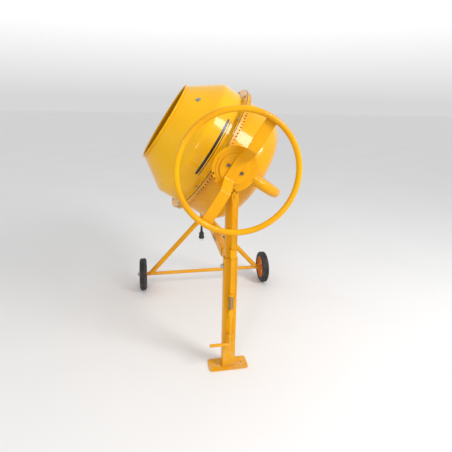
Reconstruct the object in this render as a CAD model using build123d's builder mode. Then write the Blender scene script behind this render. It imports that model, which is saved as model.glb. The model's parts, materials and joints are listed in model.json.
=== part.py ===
"""Tilting-drum concrete mixer on a three-point site stand. Millimetres, +Z up.

The origin is the centre of the foot plate's underside. +Y runs back along the tilt axis,
from the handwheel to the motor, and the drum's mouth points to -X and up.
"""
from build123d import *
from math import atan2, cos, degrees, hypot, radians, sin, tan
import os

# ---- driving dimensions -------------------------------------------------------------------
TILT_HEIGHT = 935          # tilt axis above the ground
DRUM_ANGLE = 32            # drum axis above the horizontal, at rest
DRUM_Y = 378               # drum axis, behind the mast
REAR_Y = 795               # rear upright, legs and axle

DRUM_R = 303               # outside of the drum's cylindrical band
DRUM_WALL = 3
MOUTH_R = 194
MOUTH_S = 307              # distances "S" run along the drum axis from the tilt axis, mouth up
CORNER_S = 160
CORNER_R = 34
SEAM_S = 58
BOTTOM_S = -204
BOTTOM_CORNER_R = 110
FLANGE_R = 337
FLANGE_T = 3
HUB_SEAT_R = 85            # flat middle of the drum's bottom

GEAR_MODULE = 5
GEAR_TEETH = 128
PINION_TEETH = 16
GEAR_OUTER_R = 334
GEAR_INNER_R = 306
FLANGE_BOLTS = 11
BOLT_START = 18.5          # degrees from the pinion's side

YOKE_R = 24                # round tube of the drum yoke
YOKE_WALL = 3
YOKE_FRONT_Y = 44
YOKE_REAR_Y = 752
YOKE_END_S = 24
YOKE_BACK_S = -272
YOKE_BEND_R = 110

WHEEL_RING_R = 240         # handwheel, to the middle of its tube
WHEEL_TUBE_R = 12
WHEEL_RING_Y = -120
SPOKE_WIDTH = 45
SPOKE_T = 6
SPOKE_FLAT_Y = -51         # middle of the spoke's thickness at the hub
SPOKE_RIM_Y = -108         # and at the ring
DISC_R = 94                # locking disc
NOTCH_TILTS = (-80, -65, -50, 0, 60)   # drum tilts that the lock holds, mouth down to up
DISC_Y = -37
DISC_T = 6
NOTCH_WIDTH = 11
NOTCH_DEPTH = 9
HUB_PLATE_R = 64
FRONT_TRUNNION_R = 18
REAR_TRUNNION_R = 20
SHAFT_R = 10               # pinion shaft
RUNNING = 0.06             # radial running clearance

MAST_W = 52
MAST_D = 30
SLEEVE_W = 60
SLEEVE_D = 38
TUBE_WALL = 3
SLEEVE_TOP = 540
MAST_BOTTOM = 440
PLATE_X = 178
PLATE_Y = 82
PLATE_T = 6
FOOT_HOLE_R = 7
FOOT_HOLE_SPACING = 116
CROSSBAR_Z = 510
CROSSBAR_W = 30
CROSSBAR_H = 40
SPLICE_YS = (297, 335)
UPRIGHT_BOTTOM = 445
LEG_R = 15
LEG_APEX_Z = 490
LEG_FOOT_X = 352

WHEEL_R = 100.5
WHEEL_X = 397
WHEEL_W = 44
RIM_R = 68
AXLE_R = 7
AXLE_TUBE_R = 11
AXLE_TUBE_X = 372

LOCK_BAR_X = 4
LOCK_ROD_X = -1
LOCK_ROD_R = 6
LOCK_TOP_GAP = 0.6         # tooth under the disc's rim, at rest
TOOTH_H = 8
ROD_GUIDE_LOW = 172        # rod guides: one below, one under the spring
ROD_GUIDE_LOW_TOP = 186
ROD_GUIDE_HIGH = 273
SPRING_LOW = 306
SPRING_HIGH = 372
PEDAL_Z = 133
PEDAL_REACH = 92

HOUSING_X = 105
HOUSING_LOW = 640
HOUSING_HIGH = 1045
HOUSING_Y = 822
HOUSING_DEPTH = 153
BELT_Y = 848
MOTOR_DROP = 190
DRIVE_PULLEY_R = 85
MOTOR_PULLEY_R = 24

CORD_R = 4
CORD_ROUTE = [(-8, 900, 612), (-11, 903, 556), (-15, 904, 498), (-13, 901, 442), (-8, 900, 392)]

# ---- frames -------------------------------------------------------------------------------
a = radians(DRUM_ANGLE)
MOUTH_DIR = Vector(-cos(a), 0, sin(a))
ACROSS_DIR = Vector(sin(a), 0, cos(a))
TILT_CENTRE = Vector(0, DRUM_Y, TILT_HEIGHT)
drum_axis = Axis(TILT_CENTRE, MOUTH_DIR)
drum_plane = Plane(origin=TILT_CENTRE, x_dir=(0, 1, 0), z_dir=MOUTH_DIR)
front_view = Plane(origin=(0, 0, TILT_HEIGHT), x_dir=(1, 0, 0), z_dir=(0, -1, 0))
REAR_AXIS_Z = TILT_HEIGHT - MOTOR_DROP


def radial_plane(turn):
    """Half plane through the drum axis: x is the radius, y runs towards the mouth."""
    t = radians(turn)
    radius = ACROSS_DIR * cos(t) + Vector(0, -sin(t), 0)
    return Plane(origin=TILT_CENTRE, x_dir=radius, z_dir=radius.cross(MOUTH_DIR))


def along(s, y):
    """Point in the yoke's plane, s from the tilt axis towards the mouth."""
    return Vector(0, y, TILT_HEIGHT) + MOUTH_DIR * s


def facing_front(y, angle=0):
    """Plane whose normal points forward, turned about the tilt axis."""
    t = radians(angle)
    return Plane(origin=(0, y, TILT_HEIGHT), x_dir=(cos(t), 0, sin(t)), z_dir=(0, -1, 0))


def facing_back(y, z=TILT_HEIGHT, x=0):
    return Plane(origin=(x, y, z), x_dir=(1, 0, 0), z_dir=(0, 1, 0))


def facing_right(x, y=0, z=0):
    return Plane(origin=(x, y, z), x_dir=(0, 1, 0), z_dir=(1, 0, 0))


def inset(points, depth):
    """Open outline moved sideways by depth, to the right of its direction."""
    moved = []
    for i, (x, y) in enumerate(points):
        before = points[max(i - 1, 0)]
        after = points[min(i + 1, len(points) - 1)]
        turns = []
        for p, q in ((before, (x, y)), ((x, y), after)):
            length = hypot(q[0] - p[0], q[1] - p[1])
            if length:
                turns.append(((q[1] - p[1]) / length, (p[0] - q[0]) / length))
        nx = sum(t[0] for t in turns) / len(turns)
        ny = sum(t[1] for t in turns) / len(turns)
        scale = depth / (nx * nx + ny * ny)
        moved.append((x + nx * scale, y + ny * scale))
    return moved


def save(piece, name):
    piece.part.label = name
    export_step(piece.part, f"parts/{name}.step")


os.makedirs("parts", exist_ok=True)

# ---- stand: foot, mast and crossbar ---------------------------------------------------------
MAST_BOLT_Z = 499

with BuildPart() as foot_plate:
    with BuildSketch():
        RectangleRounded(PLATE_X, PLATE_Y, 12)
        with GridLocations(FOOT_HOLE_SPACING, 0, 2, 1):
            Circle(FOOT_HOLE_R, mode=Mode.SUBTRACT)
    extrude(amount=PLATE_T)
save(foot_plate, "foot_plate")

with BuildPart() as mast_sleeve:
    with BuildSketch(Plane.XY.offset(PLATE_T)):
        RectangleRounded(SLEEVE_W, SLEEVE_D, 5)
        RectangleRounded(SLEEVE_W - 2 * TUBE_WALL, SLEEVE_D - 2 * TUBE_WALL, 2, mode=Mode.SUBTRACT)
    extrude(amount=SLEEVE_TOP - PLATE_T)
    with BuildSketch(facing_right(-SLEEVE_W / 2 - 1, 0, MAST_BOLT_Z)):
        Circle(5.05)
    extrude(amount=SLEEVE_W + 2, mode=Mode.SUBTRACT)
save(mast_sleeve, "mast_sleeve")

with BuildPart() as mast:
    with BuildSketch(Plane.XY.offset(MAST_BOTTOM)):
        RectangleRounded(MAST_W, MAST_D, 4)
        RectangleRounded(MAST_W - 2 * TUBE_WALL, MAST_D - 2 * TUBE_WALL, 1.5, mode=Mode.SUBTRACT)
    extrude(amount=TILT_HEIGHT - MAST_BOTTOM)
    with BuildSketch(facing_back(-MAST_D)):
        Circle(30)
    extrude(amount=2 * MAST_D, mode=Mode.SUBTRACT)
    with BuildSketch(facing_right(-MAST_W / 2 - 1, 0, MAST_BOLT_Z)):
        Circle(5.05)
    extrude(amount=MAST_W + 2, mode=Mode.SUBTRACT)
save(mast, "mast")

with BuildPart() as front_bearing:
    with BuildSketch(facing_back(-22)):
        Circle(30)
        Circle(FRONT_TRUNNION_R + RUNNING, mode=Mode.SUBTRACT)
    extrude(amount=39)
    chamfer(front_bearing.edges().filter_by(GeomType.CIRCLE).group_by(SortBy.RADIUS)[-1], 1.5)
save(front_bearing, "front_bearing")

with BuildPart() as crossbar_front:
    with BuildSketch(facing_back(SLEEVE_D / 2, CROSSBAR_Z)):
        RectangleRounded(CROSSBAR_W, CROSSBAR_H, 4)
        RectangleRounded(CROSSBAR_W - 5, CROSSBAR_H - 5, 1.5, mode=Mode.SUBTRACT)
    extrude(amount=SPLICE_YS[1] + 25 - SLEEVE_D / 2)
    for y in SPLICE_YS:
        with BuildSketch(facing_right(-CROSSBAR_W, y, CROSSBAR_Z)):
            Circle(5.05)
        extrude(amount=2 * CROSSBAR_W, mode=Mode.SUBTRACT)
save(crossbar_front, "crossbar_front")

CROSSBAR_REAR_START = 130
CROSSBAR_REAR_W = CROSSBAR_W + 6
CROSSBAR_REAR_H = CROSSBAR_H + 6

with BuildPart() as crossbar_rear:
    with BuildSketch(facing_back(CROSSBAR_REAR_START, CROSSBAR_Z)):
        RectangleRounded(CROSSBAR_REAR_W, CROSSBAR_REAR_H, 5)
        RectangleRounded(CROSSBAR_W + 1, CROSSBAR_H + 1, 4.5, mode=Mode.SUBTRACT)
    extrude(amount=REAR_Y - MAST_D / 2 - CROSSBAR_REAR_START)
    for y in SPLICE_YS:
        with BuildSketch(facing_right(-CROSSBAR_W, y, CROSSBAR_Z)):
            Circle(5.05)
        extrude(amount=2 * CROSSBAR_W, mode=Mode.SUBTRACT)
save(crossbar_rear, "crossbar_rear")

with BuildPart() as frame_bolts:
    for y in SPLICE_YS:
        with BuildSketch(facing_right(-CROSSBAR_REAR_W / 2 - 6.5, y, CROSSBAR_Z)):
            RegularPolygon(8.5, 6, major_radius=False)
        extrude(amount=6.5)
        with BuildSketch(facing_right(-CROSSBAR_REAR_W / 2, y, CROSSBAR_Z)):
            Circle(5)
        extrude(amount=CROSSBAR_REAR_W + 14)
    with BuildSketch(facing_right(CROSSBAR_REAR_W / 2, SPLICE_YS[1], CROSSBAR_Z)):
        RegularPolygon(8.5, 6, major_radius=False)
    extrude(amount=8)
    with BuildSketch(facing_right(-44, 0, MAST_BOLT_Z)):
        Circle(5)
    extrude(amount=44 + SLEEVE_W / 2)
    with BuildSketch(facing_right(-SLEEVE_W / 2 - 9, 0, MAST_BOLT_Z)):
        RegularPolygon(8.5, 6, major_radius=False)
    extrude(amount=7.5)
    with BuildSketch(facing_right(-SLEEVE_W / 2 - 1.5, 0, MAST_BOLT_Z)):
        Circle(11)
    extrude(amount=1.5)
    with BuildSketch(facing_right(SLEEVE_W / 2, 0, MAST_BOLT_Z)):
        Circle(11)
    extrude(amount=4, taper=35)
save(frame_bolts, "frame_bolts")

with BuildPart() as splice_knob:
    with BuildSketch(facing_right(CROSSBAR_REAR_W / 2, SPLICE_YS[0], CROSSBAR_Z)):
        Circle(14)
        with PolarLocations(17, 6):
            Circle(5.5, mode=Mode.SUBTRACT)
        Circle(5.05, mode=Mode.SUBTRACT)
    extrude(amount=16)
save(splice_knob, "splice_knob")

# ---- stand: rear upright, legs, axle --------------------------------------------------------
REAR_BEARING_START = YOKE_REAR_Y + YOKE_R + 1.5
REAR_BEARING_LENGTH = 36

with BuildPart() as rear_upright:
    with BuildSketch(Plane(origin=(0, REAR_Y, UPRIGHT_BOTTOM))):
        RectangleRounded(MAST_W, MAST_D, 4)
        RectangleRounded(MAST_W - 2 * TUBE_WALL, MAST_D - 2 * TUBE_WALL, 1.5, mode=Mode.SUBTRACT)
    extrude(amount=TILT_HEIGHT - UPRIGHT_BOTTOM)
    with BuildSketch(facing_back(REAR_Y - MAST_D)):
        Circle(30)
    extrude(amount=2 * MAST_D, mode=Mode.SUBTRACT)
save(rear_upright, "rear_upright")

with BuildPart() as rear_bearing:
    with BuildSketch(facing_back(REAR_BEARING_START)):
        Circle(30)
        Circle(REAR_TRUNNION_R + RUNNING, mode=Mode.SUBTRACT)
    extrude(amount=REAR_BEARING_LENGTH)
save(rear_bearing, "rear_bearing")

with BuildPart() as axle_tube:
    with BuildSketch(facing_right(-AXLE_TUBE_X, REAR_Y, WHEEL_R)):
        Circle(AXLE_TUBE_R)
        Circle(AXLE_R + 1, mode=Mode.SUBTRACT)
    extrude(amount=2 * AXLE_TUBE_X)
save(axle_tube, "axle_tube")

for side, name in ((-1, "leg_left"), (1, "leg_right")):
    foot = Vector(side * LEG_FOOT_X, REAR_Y, WHEEL_R)
    apex = Vector(0, REAR_Y, LEG_APEX_Z)
    with BuildPart() as leg:
        with BuildSketch(Plane(origin=foot, x_dir=(0, 1, 0), z_dir=apex - foot)):
            Circle(LEG_R)
            Circle(LEG_R - 2.5, mode=Mode.SUBTRACT)
        extrude(amount=(apex - foot).length)
        with BuildSketch(Plane(origin=(0, REAR_Y, UPRIGHT_BOTTOM - 60))):
            Rectangle(MAST_W, 2 * MAST_D)
        extrude(amount=200, mode=Mode.SUBTRACT)
        with BuildSketch(facing_right(-AXLE_TUBE_X, REAR_Y, WHEEL_R)):
            Circle(AXLE_TUBE_R)
        extrude(amount=2 * AXLE_TUBE_X, mode=Mode.SUBTRACT)
    save(leg, name)

with BuildPart() as axle:
    with BuildSketch(facing_right(-WHEEL_X - 37, REAR_Y, WHEEL_R)):
        Circle(AXLE_R)
    extrude(amount=2 * (WHEEL_X + 37))
    chamfer(axle.edges().filter_by(GeomType.CIRCLE), 1)
    for side in (-1, 1):
        with BuildSketch(Plane(origin=(side * (WHEEL_X + 30), REAR_Y, WHEEL_R - 10))):
            Circle(1.8)
        extrude(amount=20, mode=Mode.SUBTRACT)
save(axle, "axle")

WASHER_XS = (AXLE_TUBE_X + 0.4, WHEEL_X + WHEEL_W / 2 + 1.4)

with BuildPart() as axle_fasteners:
    for side in (-1, 1):
        for x in WASHER_XS:
            with BuildSketch(facing_right(side * (x + 1) - 1, REAR_Y, WHEEL_R)):
                Circle(13)
                Circle(AXLE_R + 0.05, mode=Mode.SUBTRACT)
            extrude(amount=2)
        x = side * (WHEEL_X + 30)
        with BuildSketch(Plane(origin=(x, REAR_Y, WHEEL_R - 14))):
            Circle(1.7)
        extrude(amount=24)
        with BuildSketch(Plane(origin=(x, REAR_Y, WHEEL_R + 10), x_dir=(0, 1, 0), z_dir=(1, 0, 0))):
            with Locations((0, 4)):
                Circle(5.5)
                Circle(2.4, mode=Mode.SUBTRACT)
        extrude(amount=1.3, both=True)
save(axle_fasteners, "axle_fasteners")

for side, name in ((-1, "left"), (1, "right")):
    centre = Plane(origin=(side * WHEEL_X, REAR_Y, WHEEL_R), x_dir=(0, 1, 0), z_dir=(1, 0, 0))
    section = Plane(origin=(side * WHEEL_X, REAR_Y, WHEEL_R), x_dir=(1, 0, 0), z_dir=(0, -1, 0))
    spin = Axis((side * WHEEL_X, REAR_Y, WHEEL_R), (1, 0, 0))
    with BuildPart() as tyre:
        with BuildSketch(section):
            with Locations((0, (WHEEL_R + RIM_R) / 2)):
                Rectangle(WHEEL_W, WHEEL_R - RIM_R)
            fillet(vertices().group_by(Axis.Z)[-1], 11)
        revolve(axis=spin)
    save(tyre, f"tyre_{name}")

    with BuildPart() as hub:
        with BuildSketch(centre.offset(-18)):
            Circle(RIM_R)
        extrude(amount=36)
        for face_x in (-18, 4):
            with BuildSketch(centre.offset(face_x)):
                Circle(RIM_R - 5)
                Circle(17, mode=Mode.SUBTRACT)
            extrude(amount=14, mode=Mode.SUBTRACT)
        with BuildSketch(centre.offset(-WHEEL_W / 2)):
            Circle(17)
        extrude(amount=WHEEL_W)
        with BuildSketch(centre.offset(-5)):
            with PolarLocations(40, 6):
                Circle(11)
        extrude(amount=10, mode=Mode.SUBTRACT)
        with BuildSketch(centre.offset(-WHEEL_W)):
            Circle(AXLE_R + RUNNING)
        extrude(amount=2 * WHEEL_W, mode=Mode.SUBTRACT)
    save(hub, f"wheel_hub_{name}")

# ---- lock bar, rod and pedal ----------------------------------------------------------------
BAR_Y = DISC_Y
TOOTH_TOP = TILT_HEIGHT - DISC_R - LOCK_TOP_GAP
BAR_BOTTOM = 380
HEAD_BOTTOM = 795
GUIDE_LOW = 550
GUIDE_TALL = 38
GUIDE_FRONT = BAR_Y - 8

with BuildPart() as lock_bar:
    with BuildSketch(Plane(origin=(0, BAR_Y, 0), x_dir=(1, 0, 0), z_dir=(0, -1, 0))):
        with Locations((LOCK_BAR_X, (BAR_BOTTOM + TOOTH_TOP - TOOTH_H) / 2)):
            Rectangle(20, TOOTH_TOP - TOOTH_H - BAR_BOTTOM)
        with Locations((LOCK_BAR_X, (HEAD_BOTTOM + TOOTH_TOP - TOOTH_H) / 2)):
            Rectangle(27, TOOTH_TOP - TOOTH_H - HEAD_BOTTOM)
        with Locations((0, TOOTH_TOP - TOOTH_H / 2)):
            Rectangle(NOTCH_WIDTH - 2, TOOTH_H)
    extrude(amount=DISC_T / 2, both=True)
    with BuildSketch(Plane(origin=(LOCK_BAR_X, BAR_Y - DISC_T / 2, TOOTH_TOP - 20), x_dir=(1, 0, 0),
                           z_dir=(0, -1, 0))):
        Circle(6)
    extrude(amount=3, taper=25)
save(lock_bar, "lock_bar")

with BuildPart() as lock_rod:
    with BuildSketch(Plane(origin=(LOCK_ROD_X, BAR_Y, PEDAL_Z - 8))):
        Circle(LOCK_ROD_R)
    extrude(amount=BAR_BOTTOM - PEDAL_Z + 8)
    with BuildSketch(Plane(origin=(LOCK_ROD_X, BAR_Y, SPRING_HIGH))):
        Circle(11)
    extrude(amount=BAR_BOTTOM - SPRING_HIGH)
save(lock_rod, "lock_rod")

with BuildPart() as pedal:
    with BuildSketch(facing_right(-PEDAL_REACH, BAR_Y, PEDAL_Z)):
        Circle(7)
    extrude(amount=PEDAL_REACH + LOCK_ROD_X)
    fillet(pedal.edges().sort_by(Axis.X)[0], 3)
    with BuildSketch(Plane(origin=(LOCK_ROD_X, BAR_Y, PEDAL_Z - 20))):
        Circle(LOCK_ROD_R)
    extrude(amount=40, mode=Mode.SUBTRACT)
save(pedal, "pedal")

COILS = 8
WIRE_R = 1.6
SPRING_R = 9

with BuildPart() as lock_spring:
    with BuildLine():
        Helix(
            pitch=(SPRING_HIGH - SPRING_LOW - 2 * WIRE_R - 0.4) / COILS,
            height=SPRING_HIGH - SPRING_LOW - 2 * WIRE_R - 0.4,
            radius=SPRING_R,
            center=(LOCK_ROD_X, BAR_Y, SPRING_LOW + WIRE_R + 0.2),
        )
    with BuildSketch(Plane(origin=(LOCK_ROD_X + SPRING_R, BAR_Y, SPRING_LOW + WIRE_R + 0.2),
                           x_dir=(1, 0, 0), z_dir=(0, 1, 0))):
        Circle(WIRE_R)
    sweep(is_frenet=True)
save(lock_spring, "lock_spring")

with BuildPart() as bar_guide:
    with BuildSketch(Plane(origin=(LOCK_BAR_X, (GUIDE_FRONT - MAST_D / 2) / 2, GUIDE_LOW))):
        Rectangle(27, -GUIDE_FRONT - MAST_D / 2)
    extrude(amount=GUIDE_TALL)
    with BuildSketch(Plane(origin=(LOCK_BAR_X, BAR_Y, GUIDE_LOW - 1))):
        Rectangle(20.8, DISC_T + 0.8)
    extrude(amount=GUIDE_TALL + 2, mode=Mode.SUBTRACT)
    with BuildSketch(Plane(origin=(LOCK_BAR_X, BAR_Y + 13, GUIDE_LOW - 1))):
        Rectangle(20.8, 12)
    extrude(amount=GUIDE_TALL + 2, mode=Mode.SUBTRACT)
save(bar_guide, "bar_guide")

with BuildPart() as rod_guides:
    for low, high in ((ROD_GUIDE_HIGH, SPRING_LOW), (ROD_GUIDE_LOW, ROD_GUIDE_LOW_TOP)):
        with BuildSketch(Plane(origin=(LOCK_ROD_X, (GUIDE_FRONT - SLEEVE_D / 2) / 2, low))):
            Rectangle(20, -GUIDE_FRONT - SLEEVE_D / 2)
        extrude(amount=high - low)
    fillet(rod_guides.edges().filter_by(Axis.Z).group_by(Axis.Y)[0], 6)
    with BuildSketch(Plane(origin=(LOCK_ROD_X, BAR_Y, ROD_GUIDE_LOW))):
        Circle(LOCK_ROD_R + 0.4)
    extrude(amount=SPRING_LOW - ROD_GUIDE_LOW, mode=Mode.SUBTRACT)
save(rod_guides, "rod_guides")

# ---- yoke, trunnions and handwheel ------------------------------------------------------------
with BuildPart() as yoke:
    with BuildLine():
        FilletPolyline(
            along(YOKE_END_S, YOKE_FRONT_Y),
            along(YOKE_BACK_S, YOKE_FRONT_Y),
            along(YOKE_BACK_S, YOKE_REAR_Y),
            along(YOKE_END_S, YOKE_REAR_Y),
            radius=YOKE_BEND_R,
        )
    with BuildSketch(Plane(origin=along(YOKE_END_S, YOKE_FRONT_Y), x_dir=(0, 1, 0), z_dir=-MOUTH_DIR)):
        Circle(YOKE_R)
        Circle(YOKE_R - YOKE_WALL, mode=Mode.SUBTRACT)
    sweep()
    with BuildSketch(facing_back(YOKE_REAR_Y - 2 * YOKE_R)):
        Circle(REAR_TRUNNION_R)
    extrude(amount=4 * YOKE_R, mode=Mode.SUBTRACT)
    with BuildSketch(drum_plane.offset(YOKE_BACK_S - 2 * YOKE_R)):
        Circle(16)
    extrude(amount=4 * YOKE_R, mode=Mode.SUBTRACT)
    for y in (YOKE_FRONT_Y, YOKE_REAR_Y):
        with BuildSketch(Plane(origin=along(YOKE_END_S, y), x_dir=(0, 1, 0), z_dir=MOUTH_DIR)):
            Circle(YOKE_R)
        extrude(amount=2.5)
save(yoke, "yoke")

with BuildPart() as front_trunnion:
    with BuildSketch(facing_back(DISC_Y - DISC_T / 2 - 2)):
        Circle(FRONT_TRUNNION_R)
    extrude(amount=YOKE_FRONT_Y - DISC_Y + DISC_T / 2 + 2)
    with BuildSketch(Plane(origin=along(-60, YOKE_FRONT_Y), x_dir=(0, 1, 0), z_dir=MOUTH_DIR)):
        Circle(YOKE_R)
    extrude(amount=120, mode=Mode.SUBTRACT)
save(front_trunnion, "front_trunnion")

REAR_TRUNNION_START = YOKE_REAR_Y - YOKE_R - 2
REAR_TRUNNION_END = REAR_BEARING_START + REAR_BEARING_LENGTH + 5

with BuildPart() as rear_trunnion:
    with BuildSketch(facing_back(REAR_TRUNNION_START)):
        Circle(REAR_TRUNNION_R)
        Circle(SHAFT_R + RUNNING, mode=Mode.SUBTRACT)
    extrude(amount=REAR_TRUNNION_END - REAR_TRUNNION_START)
    with BuildSketch(facing_back(REAR_TRUNNION_END - 4.5)):
        Circle(26)
        Circle(REAR_TRUNNION_R - 1, mode=Mode.SUBTRACT)
    extrude(amount=4)
save(rear_trunnion, "rear_trunnion")

with BuildPart() as lock_disc:
    with BuildSketch(facing_back(DISC_Y - DISC_T / 2)):
        Circle(DISC_R)
        for tilt in NOTCH_TILTS:
            with PolarLocations(DISC_R - NOTCH_DEPTH + 10, 1, start_angle=90 - tilt):
                Rectangle(20, NOTCH_WIDTH, mode=Mode.SUBTRACT)
        Circle(FRONT_TRUNNION_R, mode=Mode.SUBTRACT)
    extrude(amount=DISC_T)
    with BuildSketch(facing_front(DISC_Y - DISC_T / 2)):
        Circle(78)
        Circle(FRONT_TRUNNION_R, mode=Mode.SUBTRACT)
    extrude(amount=2)
save(lock_disc, "lock_disc")

HUB_PLATE_Y = DISC_Y - DISC_T / 2 - 2

with BuildPart() as hub_plate:
    with BuildSketch(facing_front(HUB_PLATE_Y)):
        Circle(HUB_PLATE_R)
    extrude(amount=6)
    fillet(hub_plate.edges().filter_by(GeomType.CIRCLE).sort_by(Axis.Y)[0], 2.5)
save(hub_plate, "hub_plate")

SPOKE_BEND_IN = 48
SPOKE_BEND_OUT = 95

with BuildPart() as handwheel_ring:
    with BuildSketch(Plane(origin=(0, WHEEL_RING_Y, TILT_HEIGHT), x_dir=(1, 0, 0), z_dir=(0, 0, 1))):
        with Locations((WHEEL_RING_R, 0)):
            Circle(WHEEL_TUBE_R)
    revolve(axis=Axis((0, WHEEL_RING_Y, TILT_HEIGHT), (0, 1, 0)))
save(handwheel_ring, "handwheel_ring")

spoke_side = Plane(origin=(0, 0, TILT_HEIGHT), x_dir=ACROSS_DIR, z_dir=ACROSS_DIR.cross(Vector(0, 1, 0)))

with BuildPart() as handwheel_spoke:
    with BuildSketch(spoke_side):
        with BuildLine():
            outline = [
                (-WHEEL_RING_R - 3, SPOKE_RIM_Y), (-SPOKE_BEND_OUT, SPOKE_RIM_Y),
                (-SPOKE_BEND_IN, SPOKE_FLAT_Y), (SPOKE_BEND_IN, SPOKE_FLAT_Y),
                (SPOKE_BEND_OUT, SPOKE_RIM_Y), (WHEEL_RING_R + 3, SPOKE_RIM_Y),
            ]
            FilletPolyline(*inset(outline, SPOKE_T / 2), radius=9)
            FilletPolyline(*inset(outline, -SPOKE_T / 2), radius=9)
            Line(inset(outline, SPOKE_T / 2)[0], inset(outline, -SPOKE_T / 2)[0])
            Line(inset(outline, SPOKE_T / 2)[-1], inset(outline, -SPOKE_T / 2)[-1])
        make_face()
    extrude(amount=SPOKE_WIDTH / 2, both=True)
    add(handwheel_ring.part, mode=Mode.SUBTRACT)
save(handwheel_spoke, "handwheel_spoke")

with BuildPart() as hub_bolts:
    with BuildSketch(facing_front(HUB_PLATE_Y - 6, 180 - DRUM_ANGLE)):
        with PolarLocations(32.5, 2):
            RegularPolygon(6.5, 6, major_radius=False)
    extrude(amount=5.3)
save(hub_bolts, "hub_bolts")

# ---- drum -------------------------------------------------------------------------------------
cone_outside = [(FLANGE_R, SEAM_S + FLANGE_T), (DRUM_R, SEAM_S + FLANGE_T), (DRUM_R, CORNER_S),
                (MOUTH_R + 1, MOUTH_S - 1)]
cone_inside = [(FLANGE_R, SEAM_S)] + inset(cone_outside, -DRUM_WALL)[1:]
cone_inside[1] = (DRUM_R - DRUM_WALL, SEAM_S)
BOLT_CIRCLE_R = 320
BEAD_R = 5
BEAD_OUT = 3.5             # the lip is rolled outward

# Bolts of the two mixing blades, one on the cone and one on the band.
PADDLE_TURNS = (48, 228)
PADDLE_BOLT_R = 4
PADDLE_T = 4
FOOT_GAP = 0.8
cone_slope = degrees(atan2(DRUM_R - MOUTH_R, MOUTH_S - CORNER_S))
CONE_BOLT = (DRUM_R - (242 - CORNER_S) * tan(radians(cone_slope)), 242)
BAND_BOLT = (DRUM_R, -68)


def wall_plane(turn, spot, slope):
    """Plane on the drum's outside at spot, its normal pointing out."""
    base = radial_plane(turn)
    lean = radians(slope)
    outward = base.x_dir * cos(lean) + MOUTH_DIR * sin(lean)
    origin = TILT_CENTRE + base.x_dir * spot[0] + MOUTH_DIR * spot[1]
    return Plane(origin=origin, x_dir=base.z_dir, z_dir=outward)


with BuildPart() as drum_cone:
    with BuildSketch(radial_plane(0)):
        with BuildLine():
            FilletPolyline(*cone_outside, radius=[3, CORNER_R])
            FilletPolyline(*cone_inside, radius=[6, CORNER_R - DRUM_WALL])
            Line(cone_outside[0], cone_inside[0])
            Line(cone_outside[-1], cone_inside[-1])
        make_face()
    revolve(axis=drum_axis)
    with BuildSketch(radial_plane(0)):
        with Locations((MOUTH_R + BEAD_OUT, MOUTH_S)):
            Circle(BEAD_R)
    revolve(axis=drum_axis, mode=Mode.SUBTRACT)
    with BuildSketch(drum_plane.offset(SEAM_S - 1)):
        with PolarLocations(BOLT_CIRCLE_R, FLANGE_BOLTS, start_angle=BOLT_START):
            Circle(4)
    extrude(amount=FLANGE_T + 2, mode=Mode.SUBTRACT)
    for turn in PADDLE_TURNS:
        with BuildSketch(wall_plane(turn, CONE_BOLT, cone_slope).offset(4)):
            Circle(PADDLE_BOLT_R)
        extrude(amount=-12, mode=Mode.SUBTRACT)
save(drum_cone, "drum_cone")

with BuildPart() as rim_bead:
    with BuildSketch(radial_plane(0)):
        with Locations((MOUTH_R + BEAD_OUT, MOUTH_S)):
            Circle(BEAD_R)
    revolve(axis=drum_axis)
save(rim_bead, "rim_bead")

HUB_BORE_R = 33
bowl_outside = [(FLANGE_R, SEAM_S - FLANGE_T), (DRUM_R, SEAM_S - FLANGE_T), (DRUM_R, BOTTOM_S + 7),
                (HUB_SEAT_R, BOTTOM_S), (HUB_BORE_R, BOTTOM_S)]
bowl_inside = [(FLANGE_R, SEAM_S)] + inset(bowl_outside, DRUM_WALL)[1:]
bowl_inside[1] = (DRUM_R - DRUM_WALL, SEAM_S)

with BuildPart() as drum_bowl:
    with BuildSketch(radial_plane(0)):
        with BuildLine():
            FilletPolyline(*bowl_outside, radius=[3, BOTTOM_CORNER_R, 40])
            FilletPolyline(*bowl_inside, radius=[6, BOTTOM_CORNER_R - DRUM_WALL, 43])
            Line(bowl_outside[0], bowl_inside[0])
            Line(bowl_outside[-1], bowl_inside[-1])
        make_face()
    revolve(axis=drum_axis)
    with BuildSketch(drum_plane.offset(SEAM_S - FLANGE_T - 1)):
        with PolarLocations(BOLT_CIRCLE_R, FLANGE_BOLTS, start_angle=BOLT_START):
            Circle(4)
    extrude(amount=FLANGE_T + 2, mode=Mode.SUBTRACT)
    for turn in PADDLE_TURNS:
        with BuildSketch(wall_plane(turn, BAND_BOLT, 0).offset(4)):
            Circle(PADDLE_BOLT_R)
        extrude(amount=-12, mode=Mode.SUBTRACT)
save(drum_bowl, "drum_bowl")

# Crown gear: straight flanks, so that it meshes like a rack with the spur pinion.
PITCH_S = GEAR_MODULE * PINION_TEETH / 2
ADDENDUM = GEAR_MODULE
DEDENDUM = 1.25 * GEAR_MODULE
FLANK = 20
BACKLASH = 0.9
GEAR_BACK_S = SEAM_S - FLANGE_T
gap_at_tip = 3.1416 * GEAR_MODULE / 2 + BACKLASH + 2 * ADDENDUM * tan(radians(FLANK))

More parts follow.
